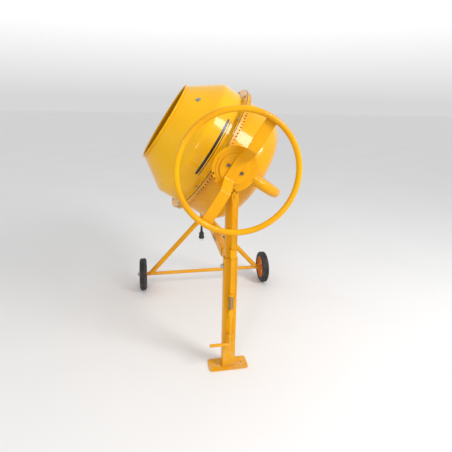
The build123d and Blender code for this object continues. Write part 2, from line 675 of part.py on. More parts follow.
with BuildPart() as ring_gear:
    with BuildSketch(drum_plane.offset(PITCH_S - ADDENDUM)):
        Circle(GEAR_OUTER_R)
        Circle(GEAR_INNER_R, mode=Mode.SUBTRACT)
    extrude(amount=GEAR_BACK_S - PITCH_S + ADDENDUM)
    with BuildSketch(drum_plane.offset(PITCH_S - ADDENDUM)):
        with PolarLocations((GEAR_OUTER_R + GEAR_INNER_R) / 2, GEAR_TEETH):
            Rectangle(GEAR_OUTER_R - GEAR_INNER_R + 14, gap_at_tip)
    extrude(amount=ADDENDUM + DEDENDUM, taper=FLANK, mode=Mode.SUBTRACT)
    with BuildSketch(drum_plane.offset(GEAR_BACK_S - 7)):
        with PolarLocations(BOLT_CIRCLE_R, FLANGE_BOLTS, start_angle=BOLT_START):
            Circle(4)
    extrude(amount=8, mode=Mode.SUBTRACT)
save(ring_gear, "ring_gear")

with BuildPart() as flange_bolts:
    with BuildSketch(drum_plane.offset(GEAR_BACK_S - 6)):
        with PolarLocations(BOLT_CIRCLE_R, FLANGE_BOLTS, start_angle=BOLT_START):
            Circle(4)
    extrude(amount=6 + 2 * FLANGE_T)
    with BuildSketch(drum_plane.offset(SEAM_S + FLANGE_T)):
        with PolarLocations(BOLT_CIRCLE_R, FLANGE_BOLTS, start_angle=BOLT_START):
            RegularPolygon(6.5, 6, major_radius=False)
    extrude(amount=5.5)
save(flange_bolts, "flange_bolts")

SPINDLE_R = 16

with BuildPart() as drum_spindle:
    with BuildSketch(drum_plane.offset(YOKE_BACK_S - YOKE_R - 4)):
        Circle(SPINDLE_R)
    extrude(amount=BOTTOM_S + 22 - YOKE_BACK_S + YOKE_R + 4)
    with BuildSketch(drum_plane.offset(YOKE_BACK_S + YOKE_R)):
        Circle(24)
    extrude(amount=6)
save(drum_spindle, "drum_spindle")

HUB_LOW_S = YOKE_BACK_S + YOKE_R + 7

with BuildPart() as drum_hub:
    with BuildSketch(drum_plane.offset(HUB_LOW_S)):
        Circle(32)
    extrude(amount=BOTTOM_S + 5 - HUB_LOW_S)
    with BuildSketch(drum_plane.offset(BOTTOM_S - 7)):
        Circle(HUB_SEAT_R - 5)
    extrude(amount=7)
    with BuildSketch(drum_plane.offset(HUB_LOW_S - 1)):
        Circle(SPINDLE_R + RUNNING)
    extrude(amount=90, mode=Mode.SUBTRACT)
    with BuildSketch(drum_plane.offset(BOTTOM_S - 12)):
        with PolarLocations(60, 6):
            RegularPolygon(6.5, 6, major_radius=False)
    extrude(amount=5)
save(drum_hub, "drum_hub")

with BuildPart() as hub_cap:
    with BuildSketch(drum_plane.offset(BOTTOM_S + DRUM_WALL)):
        Circle(46)
    extrude(amount=30, taper=8)
    with BuildSketch(drum_plane.offset(BOTTOM_S + DRUM_WALL)):
        Circle(34)
    extrude(amount=24, mode=Mode.SUBTRACT)
save(hub_cap, "hub_cap")

# Mixing blades: a plate along the wall, with a foot at each bolt.
for turn, name in zip(PADDLE_TURNS, ("paddle_a", "paddle_b")):
    feet = [wall_plane(turn, CONE_BOLT, cone_slope), wall_plane(turn, BAND_BOLT, 0)]
    blade = [(DRUM_R - 9, -90), (DRUM_R - 9, CORNER_S - 6), (DRUM_R - 66, 236), (DRUM_R - 100, 214),
             (DRUM_R - 70, 140), (DRUM_R - 70, -60)]
    with BuildPart() as paddle:
        with BuildSketch(radial_plane(turn)):
            with BuildLine():
                Polyline(*blade, close=True)
            make_face()
            fillet(vertices(), 8)
        extrude(amount=PADDLE_T / 2, both=True)
        for foot in feet:
            with BuildSketch(foot.offset(-DRUM_WALL - FOOT_GAP)):
                Rectangle(34, 34)
            extrude(amount=-8)
            with BuildSketch(foot.offset(-DRUM_WALL - FOOT_GAP)):
                Circle(PADDLE_BOLT_R)
            extrude(amount=-6, mode=Mode.SUBTRACT)
    save(paddle, name)

with BuildPart() as paddle_bolts:
    for turn in PADDLE_TURNS:
        for foot in (wall_plane(turn, CONE_BOLT, cone_slope), wall_plane(turn, BAND_BOLT, 0)):
            with BuildSketch(foot.offset(0.4)):
                Circle(11)
            extrude(amount=1.6)
            with BuildSketch(foot.offset(2)):
                RegularPolygon(6.5, 6, major_radius=False)
            extrude(amount=3.4)
            with BuildSketch(foot.offset(-9)):
                Circle(PADDLE_BOLT_R)
            extrude(amount=10)
save(paddle_bolts, "paddle_bolts")

# ---- pinion and drive ---------------------------------------------------------------------------
PINION_Y = DRUM_Y + GEAR_INNER_R + 4
PINION_WIDTH = 24
PINION_R = PITCH_S

with BuildPart() as pinion:
    with BuildSketch(Plane(origin=(0, PINION_Y, TILT_HEIGHT), x_dir=MOUTH_DIR, z_dir=(0, 1, 0))):
        Circle(PINION_R - DEDENDUM)
        with PolarLocations(PINION_R, PINION_TEETH):
            Polygon((-DEDENDUM - 1, -4.3), (0, -3.3), (ADDENDUM - 0.5, -1.6), (ADDENDUM - 0.5, 1.6),
                    (0, 3.3), (-DEDENDUM - 1, 4.3), align=None)
    extrude(amount=PINION_WIDTH)
    with BuildSketch(facing_back(PINION_Y - 3)):
        Circle(SHAFT_R)
    extrude(amount=BELT_Y + 12 - PINION_Y + 3)
save(pinion, "pinion_shaft")

PULLEY_W = 16
GROOVE_W = 10
GROOVE_DEPTH = 9
MOTOR_SHAFT_R = 7

with BuildPart() as drive_pulley:
    with BuildSketch(facing_back(BELT_Y - PULLEY_W / 2)):
        Circle(DRIVE_PULLEY_R)
        Circle(SHAFT_R, mode=Mode.SUBTRACT)
        with PolarLocations(DRIVE_PULLEY_R / 2, 5):
            Circle(16, mode=Mode.SUBTRACT)
    extrude(amount=PULLEY_W)
    with BuildSketch(facing_back(BELT_Y - GROOVE_W / 2)):
        Circle(DRIVE_PULLEY_R + 1)
        Circle(DRIVE_PULLEY_R - GROOVE_DEPTH, mode=Mode.SUBTRACT)
    extrude(amount=GROOVE_W, mode=Mode.SUBTRACT)
save(drive_pulley, "drive_pulley")

with BuildPart() as motor_pulley:
    with BuildSketch(facing_back(BELT_Y - PULLEY_W / 2, REAR_AXIS_Z)):
        Circle(MOTOR_PULLEY_R)
    extrude(amount=PULLEY_W)
    with BuildSketch(facing_back(BELT_Y - GROOVE_W / 2, REAR_AXIS_Z)):
        Circle(MOTOR_PULLEY_R + 1)
        Circle(MOTOR_PULLEY_R - GROOVE_DEPTH, mode=Mode.SUBTRACT)
    extrude(amount=GROOVE_W, mode=Mode.SUBTRACT)
    with BuildSketch(facing_back(BELT_Y - 11, REAR_AXIS_Z)):
        Circle(MOTOR_SHAFT_R)
    extrude(amount=50)
save(motor_pulley, "motor_pulley")

with BuildPart() as belt:
    for grow, mode in ((0, Mode.ADD), (-7, Mode.SUBTRACT)):
        with BuildSketch(facing_back(BELT_Y - 4, REAR_AXIS_Z)):
            Circle(MOTOR_PULLEY_R - 1 + grow)
            with Locations((0, -MOTOR_DROP)):
                Circle(DRIVE_PULLEY_R - 1 + grow)
            make_hull()
        extrude(amount=8, mode=mode)
save(belt, "belt")

# ---- motor and housing ----------------------------------------------------------------------------
HOUSING_MID_Z = (HOUSING_LOW + HOUSING_HIGH) / 2
HOUSING_TALL = HOUSING_HIGH - HOUSING_LOW
BACK_PLATE_T = 3
COVER_WALL = 2.5
MOTOR_START = 866
MOTOR_LENGTH = 92
MOTOR_R = 62

with BuildPart() as housing_plate:
    with BuildSketch(facing_back(HOUSING_Y, HOUSING_MID_Z)):
        RectangleRounded(2 * HOUSING_X, HOUSING_TALL, 22)
    extrude(amount=BACK_PLATE_T)
    with BuildSketch(facing_back(HOUSING_Y - 1)):
        Circle(SHAFT_R + 2)
    extrude(amount=BACK_PLATE_T + 2, mode=Mode.SUBTRACT)
    for z in (720, 860):
        with BuildSketch(facing_back(REAR_Y + MAST_D / 2, z)):
            Rectangle(MAST_W - 8, 40)
        extrude(amount=HOUSING_Y - REAR_Y - MAST_D / 2)
save(housing_plate, "housing_plate")

with BuildPart() as housing_cover:
    with BuildSketch(facing_back(HOUSING_Y + BACK_PLATE_T, HOUSING_MID_Z)):
        RectangleRounded(2 * HOUSING_X, HOUSING_TALL, 22)
    extrude(amount=HOUSING_DEPTH - BACK_PLATE_T)
    fillet(housing_cover.edges().group_by(Axis.Y)[-1], 16)
    offset(amount=-COVER_WALL, openings=housing_cover.faces().sort_by(Axis.Y)[0])
    with BuildSketch(facing_back(HOUSING_Y + HOUSING_DEPTH - 10, REAR_AXIS_Z)):
        with GridLocations(0, 13, 1, 7):
            SlotOverall(110, 6)
    extrude(amount=20, mode=Mode.SUBTRACT)
save(housing_cover, "housing_cover")

with BuildPart() as motor:
    with BuildSketch(facing_back(MOTOR_START, REAR_AXIS_Z)):
        Circle(MOTOR_R)
    extrude(amount=MOTOR_LENGTH)
    fillet(motor.edges().filter_by(GeomType.CIRCLE), 6)
    with BuildSketch(facing_back(MOTOR_START - 1, REAR_AXIS_Z)):
        Circle(7.1)
    extrude(amount=40, mode=Mode.SUBTRACT)
save(motor, "motor")

with BuildPart() as motor_bracket:
    for side in (-1, 1):
        with BuildSketch(Plane(origin=(side * 74, HOUSING_Y + BACK_PLATE_T, REAR_AXIS_Z))):
            with Locations((0, 60)):
                Rectangle(8, 120)
        extrude(amount=22, both=True)
        with BuildSketch(facing_right(side * 70 - 15, MOTOR_START + 40, REAR_AXIS_Z)):
            Rectangle(30, 30)
        extrude(amount=30)
    with BuildSketch(facing_back(MOTOR_START - 2, REAR_AXIS_Z)):
        Circle(MOTOR_R)
    extrude(amount=MOTOR_LENGTH + 4, mode=Mode.SUBTRACT)
save(motor_bracket, "motor_bracket")

SWITCH_Y = 905
SWITCH_Z = 745
SWITCH_DEPTH = 30

with BuildPart() as switch_box:
    with BuildSketch(facing_right(-HOUSING_X - SWITCH_DEPTH, SWITCH_Y, SWITCH_Z)):
        RectangleRounded(70, 100, 8)
    extrude(amount=SWITCH_DEPTH)
    fillet(switch_box.edges().group_by(Axis.X)[0], 4)
    for z in (-20, 20):
        with BuildSketch(facing_right(-HOUSING_X - SWITCH_DEPTH - 1, SWITCH_Y, SWITCH_Z + z)):
            Circle(12.4)
        extrude(amount=19, mode=Mode.SUBTRACT)
save(switch_box, "switch_box")

for name, z, proud in (("start_button", SWITCH_Z + 20, 5), ("stop_button", SWITCH_Z - 20, 8)):
    with BuildPart() as button:
        with BuildSketch(facing_right(-HOUSING_X - SWITCH_DEPTH - proud, SWITCH_Y, z)):
            Circle(12)
        extrude(amount=proud + 12)
        fillet(button.edges().group_by(Axis.X)[0], 2)
    save(button, name)

# ---- mains lead: gland, cord, plug ------------------------------------------------------------------
start = Vector(*CORD_ROUTE[0])
end = Vector(*CORD_ROUTE[-1])

with BuildPart() as cable_gland:
    with BuildSketch(Plane(origin=(start.X, start.Y, start.Z))):
        Circle(7)
    extrude(amount=12)
    with BuildSketch(Plane(origin=(start.X, start.Y, start.Z + 12))):
        RegularPolygon(11, 6, major_radius=False)
    extrude(amount=HOUSING_LOW - start.Z - 12)
save(cable_gland, "cable_gland")


def bend_radii(route):
    """Largest arc that each corner's two runs leave room for."""
    radii = []
    for p, q, r in zip(route, route[1:], route[2:]):
        before = Vector(*q) - Vector(*p)
        after = Vector(*r) - Vector(*q)
        half = radians(before.get_angle(after)) / 2
        radii.append(0.45 * min(before.length, after.length) / tan(half))
    return radii


cord_radii = bend_radii(CORD_ROUTE)

with BuildPart() as cord:
    with BuildLine() as cord_line:
        FilletPolyline(*CORD_ROUTE, radius=cord_radii)
    with BuildSketch(Plane(origin=start, z_dir=Vector(*CORD_ROUTE[1]) - start)):
        Circle(CORD_R)
    sweep()
save(cord, "cord")
cord_length = sum(edge.length for edge in cord_line.edges())
print("cord radii", [round(r) for r in cord_radii], "length", round(cord_length, 1))
print("cord volume", round(cord.part.volume), "section x length", round(3.14159 * CORD_R**2 * cord_length))

BOOT_LENGTH = 62
PLUG_LENGTH = 42
PLUG_R = 19
PIN_LENGTH = 19

with BuildPart() as plug_boot:
    with BuildSketch(Plane(origin=end)):
        Circle(6)
    with BuildSketch(Plane(origin=end - Vector(0, 0, BOOT_LENGTH))):
        Circle(9.5)
    loft()
save(plug_boot, "plug_boot")

plug_top = end - Vector(0, 0, BOOT_LENGTH)
with BuildPart() as plug:
    with BuildSketch(Plane(origin=plug_top - Vector(0, 0, PLUG_LENGTH))):
        Circle(PLUG_R)
    extrude(amount=PLUG_LENGTH)
    fillet(plug.edges().filter_by(GeomType.CIRCLE).group_by(Axis.Z)[-1], 8)
    fillet(plug.edges().filter_by(GeomType.CIRCLE).group_by(Axis.Z)[0], 1.5)
save(plug, "plug")

with BuildPart() as plug_pins:
    with BuildSketch(Plane(origin=plug_top - Vector(0, 0, PLUG_LENGTH + PIN_LENGTH))):
        with GridLocations(19, 0, 2, 1):
            Circle(2.4)
    extrude(amount=PIN_LENGTH)
save(plug_pins, "plug_pins")
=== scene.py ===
import json
import math

import bpy
from mathutils import Matrix, Vector


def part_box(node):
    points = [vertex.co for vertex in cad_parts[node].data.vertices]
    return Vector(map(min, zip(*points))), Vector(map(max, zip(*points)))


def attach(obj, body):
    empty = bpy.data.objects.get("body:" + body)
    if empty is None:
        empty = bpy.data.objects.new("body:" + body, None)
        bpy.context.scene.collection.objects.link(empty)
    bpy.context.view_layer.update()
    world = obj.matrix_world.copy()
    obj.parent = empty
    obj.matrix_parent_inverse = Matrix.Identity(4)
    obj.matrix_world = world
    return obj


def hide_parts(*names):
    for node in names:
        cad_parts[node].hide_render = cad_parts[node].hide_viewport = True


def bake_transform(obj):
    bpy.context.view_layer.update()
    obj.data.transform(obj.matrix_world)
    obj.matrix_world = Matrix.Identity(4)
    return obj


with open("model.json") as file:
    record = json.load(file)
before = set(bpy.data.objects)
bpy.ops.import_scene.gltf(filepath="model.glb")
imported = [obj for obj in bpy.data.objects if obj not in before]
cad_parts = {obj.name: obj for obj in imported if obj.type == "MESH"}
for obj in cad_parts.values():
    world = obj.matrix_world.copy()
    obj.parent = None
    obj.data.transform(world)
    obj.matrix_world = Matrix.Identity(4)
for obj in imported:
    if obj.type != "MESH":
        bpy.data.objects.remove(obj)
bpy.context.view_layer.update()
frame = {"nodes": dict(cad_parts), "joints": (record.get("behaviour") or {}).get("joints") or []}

NODES = frame["nodes"]
MM = 0.001

# ---- positions read from the frame ---------------------------------------------------------------
JOINTS = {j["name"]: j for j in frame["joints"]}
TILT = Vector(JOINTS["drum_tilt"]["pos_m"])
DRUM_CENTRE = Vector(JOINTS["drum_spin"]["pos_m"])
MOUTH_DIR = Vector(JOINTS["drum_spin"]["axis"]).normalized()
ACROSS_DIR = Vector((MOUTH_DIR.z, 0, -MOUTH_DIR.x))
WHEEL_CENTRES = {side: Vector(JOINTS[f"wheel_{side}_spin"]["pos_m"]) for side in ("left", "right")}


def middle(node):
    low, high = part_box(node)
    return (low + high) / 2


# ---- shader helpers ------------------------------------------------------------------------------
class Shader:
    """A principled material with its texture coordinate, built node by node."""

    BEVEL_SAMPLES = 4
    NOISE_ROUGHNESS = 0.55
    FLAT, SHARP = 0.995, 0.88  # how far the bevelled normal agrees with the plain one

    def __init__(self, name, rough=0.4, metallic=0.0):
        self.material = bpy.data.materials.new(name)
        self.material.use_nodes = True
        self.tree = self.material.node_tree
        self.tree.nodes.clear()
        self.out = self.node("ShaderNodeOutputMaterial")
        self.bsdf = self.node("ShaderNodeBsdfPrincipled")
        self.link(self.bsdf.outputs[0], self.out.inputs[0])
        self.bsdf.inputs["Roughness"].default_value = rough
        self.bsdf.inputs["Metallic"].default_value = metallic
        self.where = self.node("ShaderNodeTexCoord").outputs["Object"]

    def node(self, kind, **values):
        made = self.tree.nodes.new(kind)
        for key, value in values.items():
            setattr(made, key, value)
        return made

    def link(self, a, b):
        self.tree.links.new(a, b)

    def noise(self, scale, detail, stretch=(1, 1, 1)):
        spot = self.node("ShaderNodeMapping")
        spot.inputs["Scale"].default_value = stretch
        self.link(self.where, spot.inputs["Vector"])
        made = self.node("ShaderNodeTexNoise")
        made.inputs["Scale"].default_value = scale
        made.inputs["Detail"].default_value = detail
        made.inputs["Roughness"].default_value = self.NOISE_ROUGHNESS
        self.link(spot.outputs[0], made.inputs["Vector"])
        return made.outputs["Fac"]

    def cells(self, scale):
        made = self.node("ShaderNodeTexVoronoi")
        made.inputs["Scale"].default_value = scale
        self.link(self.where, made.inputs["Vector"])
        return made.outputs["Distance"]

    def span(self, value, low, high, to_low=0.0, to_high=1.0):
        """value carried from low..high to to_low..to_high, and held at the ends."""
        made = self.node("ShaderNodeMapRange")
        ends = {"From Min": low, "From Max": high, "To Min": to_low, "To Max": to_high}
        for key, level in ends.items():
            made.inputs[key].default_value = level
        self.link(value, made.inputs["Value"])
        return made.outputs["Result"]

    def times(self, a, b):
        made = self.node("ShaderNodeMath", operation="MULTIPLY")
        for value, socket in ((a, made.inputs[0]), (b, made.inputs[1])):
            if isinstance(value, (int, float)):
                socket.default_value = value
            else:
                self.link(value, socket)
        return made.outputs[0]

    def mix(self, factor, a, b):
        made = self.node("ShaderNodeMix", data_type="RGBA")
        sockets = (made.inputs[0], made.inputs[6], made.inputs[7])
        for value, socket in zip((factor, a, b), sockets):
            if isinstance(value, tuple):
                socket.default_value = (*value, 1)
            elif isinstance(value, (int, float)):
                socket.default_value = value
            else:
                self.link(value, socket)
        return made.outputs[2]

    def height(self):
        parts = self.node("ShaderNodeSeparateXYZ")
        self.link(self.where, parts.inputs[0])
        return parts.outputs["Z"]

    def bevelled(self, radius):
        made = self.node("ShaderNodeBevel", samples=self.BEVEL_SAMPLES)
        made.inputs["Radius"].default_value = radius
        return made.outputs[0]

    def edges(self, radius):
        """How near a corner is: 0 on a flat, 1 on an edge sharper than the radius."""
        plain = self.node("ShaderNodeNewGeometry")
        dot = self.node("ShaderNodeVectorMath", operation="DOT_PRODUCT")
        self.link(self.bevelled(radius), dot.inputs[0])
        self.link(plain.outputs["Normal"], dot.inputs[1])
        return self.span(dot.outputs["Value"], self.FLAT, self.SHARP)

    def bump(self, height, strength, distance, soften=0.0):
        made = self.node("ShaderNodeBump")
        made.inputs["Strength"].default_value = strength
        made.inputs["Distance"].default_value = distance
        self.link(height, made.inputs["Height"])
        if soften:
            self.link(self.bevelled(soften), made.inputs["Normal"])
        self.link(made.outputs[0], self.bsdf.inputs["Normal"])

    def color(self, value):
        self.link(value, self.bsdf.inputs["Base Color"])

    def rough(self, value):
        self.link(value, self.bsdf.inputs["Roughness"])

    def set(self, **values):
        for key, value in values.items():
            self.bsdf.inputs[key.replace("_", " ")].default_value = value


BARE_METAL = (0.24, 0.17, 0.11)
GEAR_METAL = (0.30, 0.24, 0.16)
GEAR_GREASE = (0.16, 0.10, 0.04)
DULL_PLATE = (0.30, 0.27, 0.22)
RUST = (0.20, 0.09, 0.035)
GROUND_DUST = (0.55, 0.50, 0.42)
PLASTIC_DUST = (0.42, 0.39, 0.34)
TREAD_DUST = (0.20, 0.18, 0.15)
SOOT_BLACK = (0.022, 0.020, 0.021)
WALL_GREY = (0.060, 0.056, 0.057)
DUST_TOP = 0.22  # metres above the ground


def shade(color, by):
    return tuple(c * by for c in color)


def paint(name, base, deep, rough=0.3, peel=0.12, wear=0.5, dust=0.0, coat=0.2):
    """Sprayed enamel: uneven tone, orange peel, rubbed edges, and dust near the ground."""
    s = Shader(name, rough)
    s.set(Coat_Weight=coat, Coat_Roughness=0.06, Specular_IOR_Level=0.1)
    tone = s.mix(s.span(s.noise(5.0, 4), 0.35, 0.7), base, deep)
    tone = s.mix(s.span(s.noise(120.0, 2), 0.5, 0.75, 0, 0.5), tone, shade(base, 0.93))
    rubbed = s.times(s.edges(1.6 * MM), s.span(s.noise(90.0, 5), 0.56, 0.68, 0, wear))
    scuffs = s.span(s.noise(30.0, 6, (1, 1, 9)), 0.69, 0.76, 0, wear * 0.6)
    tone = s.mix(scuffs, tone, shade(deep, 0.72))
    tone = s.mix(rubbed, tone, BARE_METAL)
    if dust:
        patches = s.span(s.noise(45.0, 5), 0.45, 0.7, 0, dust)
        tone = s.mix(s.times(s.span(s.height(), DUST_TOP, 0.0), patches), tone, GROUND_DUST)
    s.color(tone)
    s.rough(s.span(s.noise(22.0, 4), 0.3, 0.75, rough - 0.07, rough + 0.11))
    s.bump(s.noise(650.0, 2), peel, 0.5 * MM, soften=0.9 * MM)
    return s.material


def plated(name, base, rough=0.3, spangle=260.0):
    """Zinc or nickel plate: bright metal with a faint crystal pattern and dull spots."""
    s = Shader(name, rough, 1.0)
    tone = s.mix(s.span(s.cells(spangle), 0.0, 0.7), base, shade(base, 0.72))
    tone = s.mix(s.span(s.noise(160.0, 4), 0.6, 0.72, 0, 0.5), tone, DULL_PLATE)
    s.color(tone)
    s.rough(s.span(s.noise(300.0, 3), 0.3, 0.7, rough - 0.08, rough + 0.14))
    s.bump(s.noise(900.0, 2), 0.15, 0.2 * MM, soften=0.5 * MM)
    return s.material


def machined(name, base, rough=0.35):
    """Turned or rolled steel: a fine tooled grain, a film of oil and a little rust."""
    s = Shader(name, rough, 1.0)
    tone = s.mix(s.span(s.noise(60.0, 5), 0.4, 0.7), base, shade(base, 0.7))
    s.color(s.mix(s.span(s.noise(35.0, 7), 0.66, 0.74, 0, 0.6), tone, RUST))
    s.rough(s.span(s.noise(420.0, 2), 0.3, 0.7, rough - 0.1, rough + 0.15))
    s.bump(s.noise(700.0, 2), 0.2, 0.2 * MM, soften=0.5 * MM)
    return s.material


def moulded(name, base, rough=0.5, grain=700.0, depth=0.25, dust=0.15):
    """Moulded plastic or rubber: fine grain, edges painted paler as rubbed plastic and a painted sheen,
    and dust in the hollows.
    """
    s = Shader(name, rough)
    light = tuple(min(1.0, c * 1.5 + 0.02) for c in base)
    tone = s.mix(s.span(s.noise(40.0, 4), 0.4, 0.7, 0, 0.35), base, light)
    # Paler edges: partly rubbed plastic, partly a painted sheen along every edge.
    tone = s.mix(s.times(s.edges(1.2 * MM), 0.35), tone, light)
    tone = s.mix(s.span(s.noise(75.0, 6), 0.6, 0.75, 0, dust), tone, PLASTIC_DUST)
    s.color(tone)
    s.rough(s.span(s.noise(120.0, 3), 0.3, 0.7, rough - 0.08, rough + 0.12))
    s.bump(s.noise(grain, 2), depth, 0.3 * MM, soften=0.6 * MM)
    return s.material


def tyre_rubber(name):
    """Tyre rubber: soot black, greyer where the side wall flexes, cement dust in the tread."""
    s = Shader(name, 0.62)
    s.set(Specular_IOR_Level=0.35)
    tone = s.mix(s.span(s.noise(30.0, 5), 0.35, 0.7), SOOT_BLACK, WALL_GREY)
    tone = s.mix(s.span(s.noise(70.0, 6), 0.55, 0.72, 0, 0.35), tone, TREAD_DUST)
    s.color(tone)
    s.rough(s.span(s.noise(90.0, 3), 0.3, 0.7, 0.52, 0.75))
    s.bump(s.noise(520.0, 3), 0.35, 0.4 * MM)
    return s.material


def cast_gear(name, base, deep):
    """Painted casting: a sandy skin, oil and dirt near the teeth."""
    s = Shader(name, 0.42)
    s.set(Coat_Weight=0.1, Coat_Roughness=0.2)
    tone = s.mix(s.span(s.noise(26.0, 5), 0.35, 0.7), base, deep)
    tone = s.mix(s.span(s.noise(55.0, 6), 0.56, 0.72, 0, 0.6), tone, GEAR_GREASE)
    tone = s.mix(s.times(s.edges(1.4 * MM), 0.5), tone, GEAR_METAL)
    s.color(tone)
    s.rough(s.span(s.noise(80.0, 3), 0.3, 0.7, 0.34, 0.55))
    s.bump(s.noise(380.0, 4), 0.4, 0.4 * MM, soften=0.5 * MM)
    return s.material


YELLOW = (0.77, 0.365, 0.003)
YELLOW_DEEP = (0.66, 0.275, 0.002)
DRUM_YELLOW = (0.82, 0.44, 0.001)
DRUM_DEEP = (0.77, 0.375, 0.001)
# The bowl's yellows are the drum's paint made deeper: painted shade on the lower half of the drum.
BOWL_SHADED_YELLOW = (0.76, 0.365, 0.0)
BOWL_SHADED_DEEP = (0.70, 0.31, 0.0)

LOOKS = {
    "stand": paint("frame_enamel", YELLOW, YELLOW_DEEP, rough=0.34, dust=0.35),
    "drum": paint("drum_enamel", DRUM_YELLOW, DRUM_DEEP, rough=0.24, peel=0.08, wear=0.35, coat=0.4),
    # The bowl's enamel is a shaded copy of the drum's enamel: painted shade.
    "bowl": paint("bowl_enamel_shaded", BOWL_SHADED_YELLOW, BOWL_SHADED_DEEP, rough=0.24, peel=0.08, wear=0.35, coat=0.4),
    "rim": paint("rim_enamel", (0.81, 0.41, 0.002), DRUM_DEEP, rough=0.25, wear=1.0),
    "wheel_ring": paint("handwheel_enamel", (0.80, 0.40, 0.002), YELLOW_DEEP, rough=0.26, wear=0.5),
    "cover": paint("cover_enamel", (0.79, 0.385, 0.002), YELLOW_DEEP, rough=0.3, peel=0.2, wear=0.4),
    "gear": cast_gear("gear_enamel", (0.76, 0.37, 0.01), (0.60, 0.27, 0.008)),
    "zinc": plated("zinc_plate", (0.62, 0.61, 0.58)),
    "dark_bolt": plated("dark_zinc", (0.20, 0.19, 0.18), rough=0.34),
    "spring": plated("spring_steel", (0.42, 0.38, 0.32), rough=0.36, spangle=500.0),
    "nickel": plated("nickel_plate", (0.78, 0.74, 0.66), rough=0.18, spangle=700.0),
    "steel": machined("oiled_steel", (0.42, 0.41, 0.40)),
    "blade": machined("blade_steel", (0.30, 0.26, 0.22), rough=0.5),
    "alloy": machined("cast_alloy", (0.66, 0.66, 0.66), rough=0.45),
    "tyre": tyre_rubber("tyre_rubber_worn"),
    "hub": moulded("hub_plastic", (0.70, 0.22, 0.025), rough=0.38, grain=400.0, depth=0.15, dust=0.3),
    "box": moulded("box_plastic", (0.02, 0.02, 0.021), rough=0.45),
    "knob": moulded("knob_plastic", (0.014, 0.014, 0.015), rough=0.35, grain=500.0),
    "rubber": moulded("cord_rubber", (0.013, 0.013, 0.014), rough=0.42, grain=900.0, depth=0.15, dust=0.1),
    "decal": moulded("dark_film", (0.022, 0.016, 0.012), rough=0.3, grain=900.0, depth=0.05, dust=0.05),
    "weld": paint("weld_enamel", YELLOW_DEEP, (0.55, 0.24, 0.004), rough=0.4, peel=0.4, wear=0.6),
    "belt": moulded("belt_rubber", (0.02, 0.02, 0.02), rough=0.6, grain=400.0),
    "green": moulded("green_button", (0.02, 0.30, 0.06), rough=0.25, grain=900.0, depth=0.05, dust=0.1),
    "red": moulded("red_button", (0.55, 0.02, 0.015), rough=0.25, grain=900.0, depth=0.05, dust=0.1),
}
NODE_LOOKS = {
    "stand": """foot_plate mast_sleeve mast front_bearing crossbar_front crossbar_rear rear_upright
        rear_bearing axle_tube leg_left leg_right bar_guide rod_guides yoke lock_disc hub_plate
        handwheel_spoke lock_bar lock_rod pedal""",
    "drum": "drum_cone",
    "bowl": "drum_bowl",
    "rim": "rim_bead",
    "wheel_ring": "handwheel_ring",
    "cover": "housing_plate housing_cover",
    "gear": "ring_gear",
    "zinc": "frame_bolts axle axle_fasteners flange_bolts paddle_bolts",
    "dark_bolt": "hub_bolts",
    "spring": "lock_spring",
    "nickel": "plug_pins",
    "steel": "front_trunnion rear_trunnion drum_spindle drum_hub hub_cap pinion_shaft motor_bracket",
    "blade": "paddle_a paddle_b",
    "alloy": "motor drive_pulley motor_pulley",
    "tyre": "tyre_left tyre_right",
    "hub": "wheel_hub_left wheel_hub_right",
    "box": "switch_box cable_gland plug",
    "knob": "splice_knob",
    "rubber": "cord plug_boot",
    "belt": "belt",
    "green": "start_button",
    "red": "stop_button",
}
for look, names in NODE_LOOKS.items():
    for name in names.split():
        NODES[name].data.materials.clear()
        NODES[name].data.materials.append(LOOKS[look])


# ---- mesh helpers --------------------------------------------------------------------------------
def placed(name, data):
    made = bpy.data.objects.new(name, data)
    bpy.context.scene.collection.objects.link(made)
    return made


def piece(name, points, faces, look, body, slot, sharp=40):
    mesh = bpy.data.meshes.new(name)
    mesh.from_pydata([tuple(p) for p in points], [], faces)
    mesh.validate()
    for polygon in mesh.polygons:
        polygon.use_smooth = True
    mesh.set_sharp_from_angle(angle=math.radians(sharp))
    mesh.materials.append(LOOKS[look])
    made = placed(name, mesh)
    if body:
        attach(made, body)
    return made


def turned(profile, centre, axis, steps, closed=True, shape=None):
    """Points and faces of a profile of (distance along the axis, radius) turned about it.

    An open profile gets flat ends. shape(turn, along, radius) gives the radius where it isn't round.
    """
    axis = axis.normalized()
    side = axis.orthogonal().normalized()
    other = axis.cross(side)
    points = []
    for i in range(steps):
        turn = 2 * math.pi * i / steps
        out = side * math.cos(turn) + other * math.sin(turn)
        for along, radius in profile:
            reach = shape(turn, along, radius) if shape else radius
            points.append(centre + axis * along + out * reach)
    n = len(profile)
    faces = []
    for i in range(steps):
        j = (i + 1) % steps
        for k in range(n if closed else n - 1):
            m = (k + 1) % n
            faces.append((i * n + k, i * n + m, j * n + m, j * n + k))
    if not closed:
        faces.append(tuple(i * n for i in range(steps)))
        faces.append(tuple(i * n + n - 1 for i in reversed(range(steps))))
    return points, faces


WIRE_SIDES = 10
RIPPLE_PITCH = 4 * MM


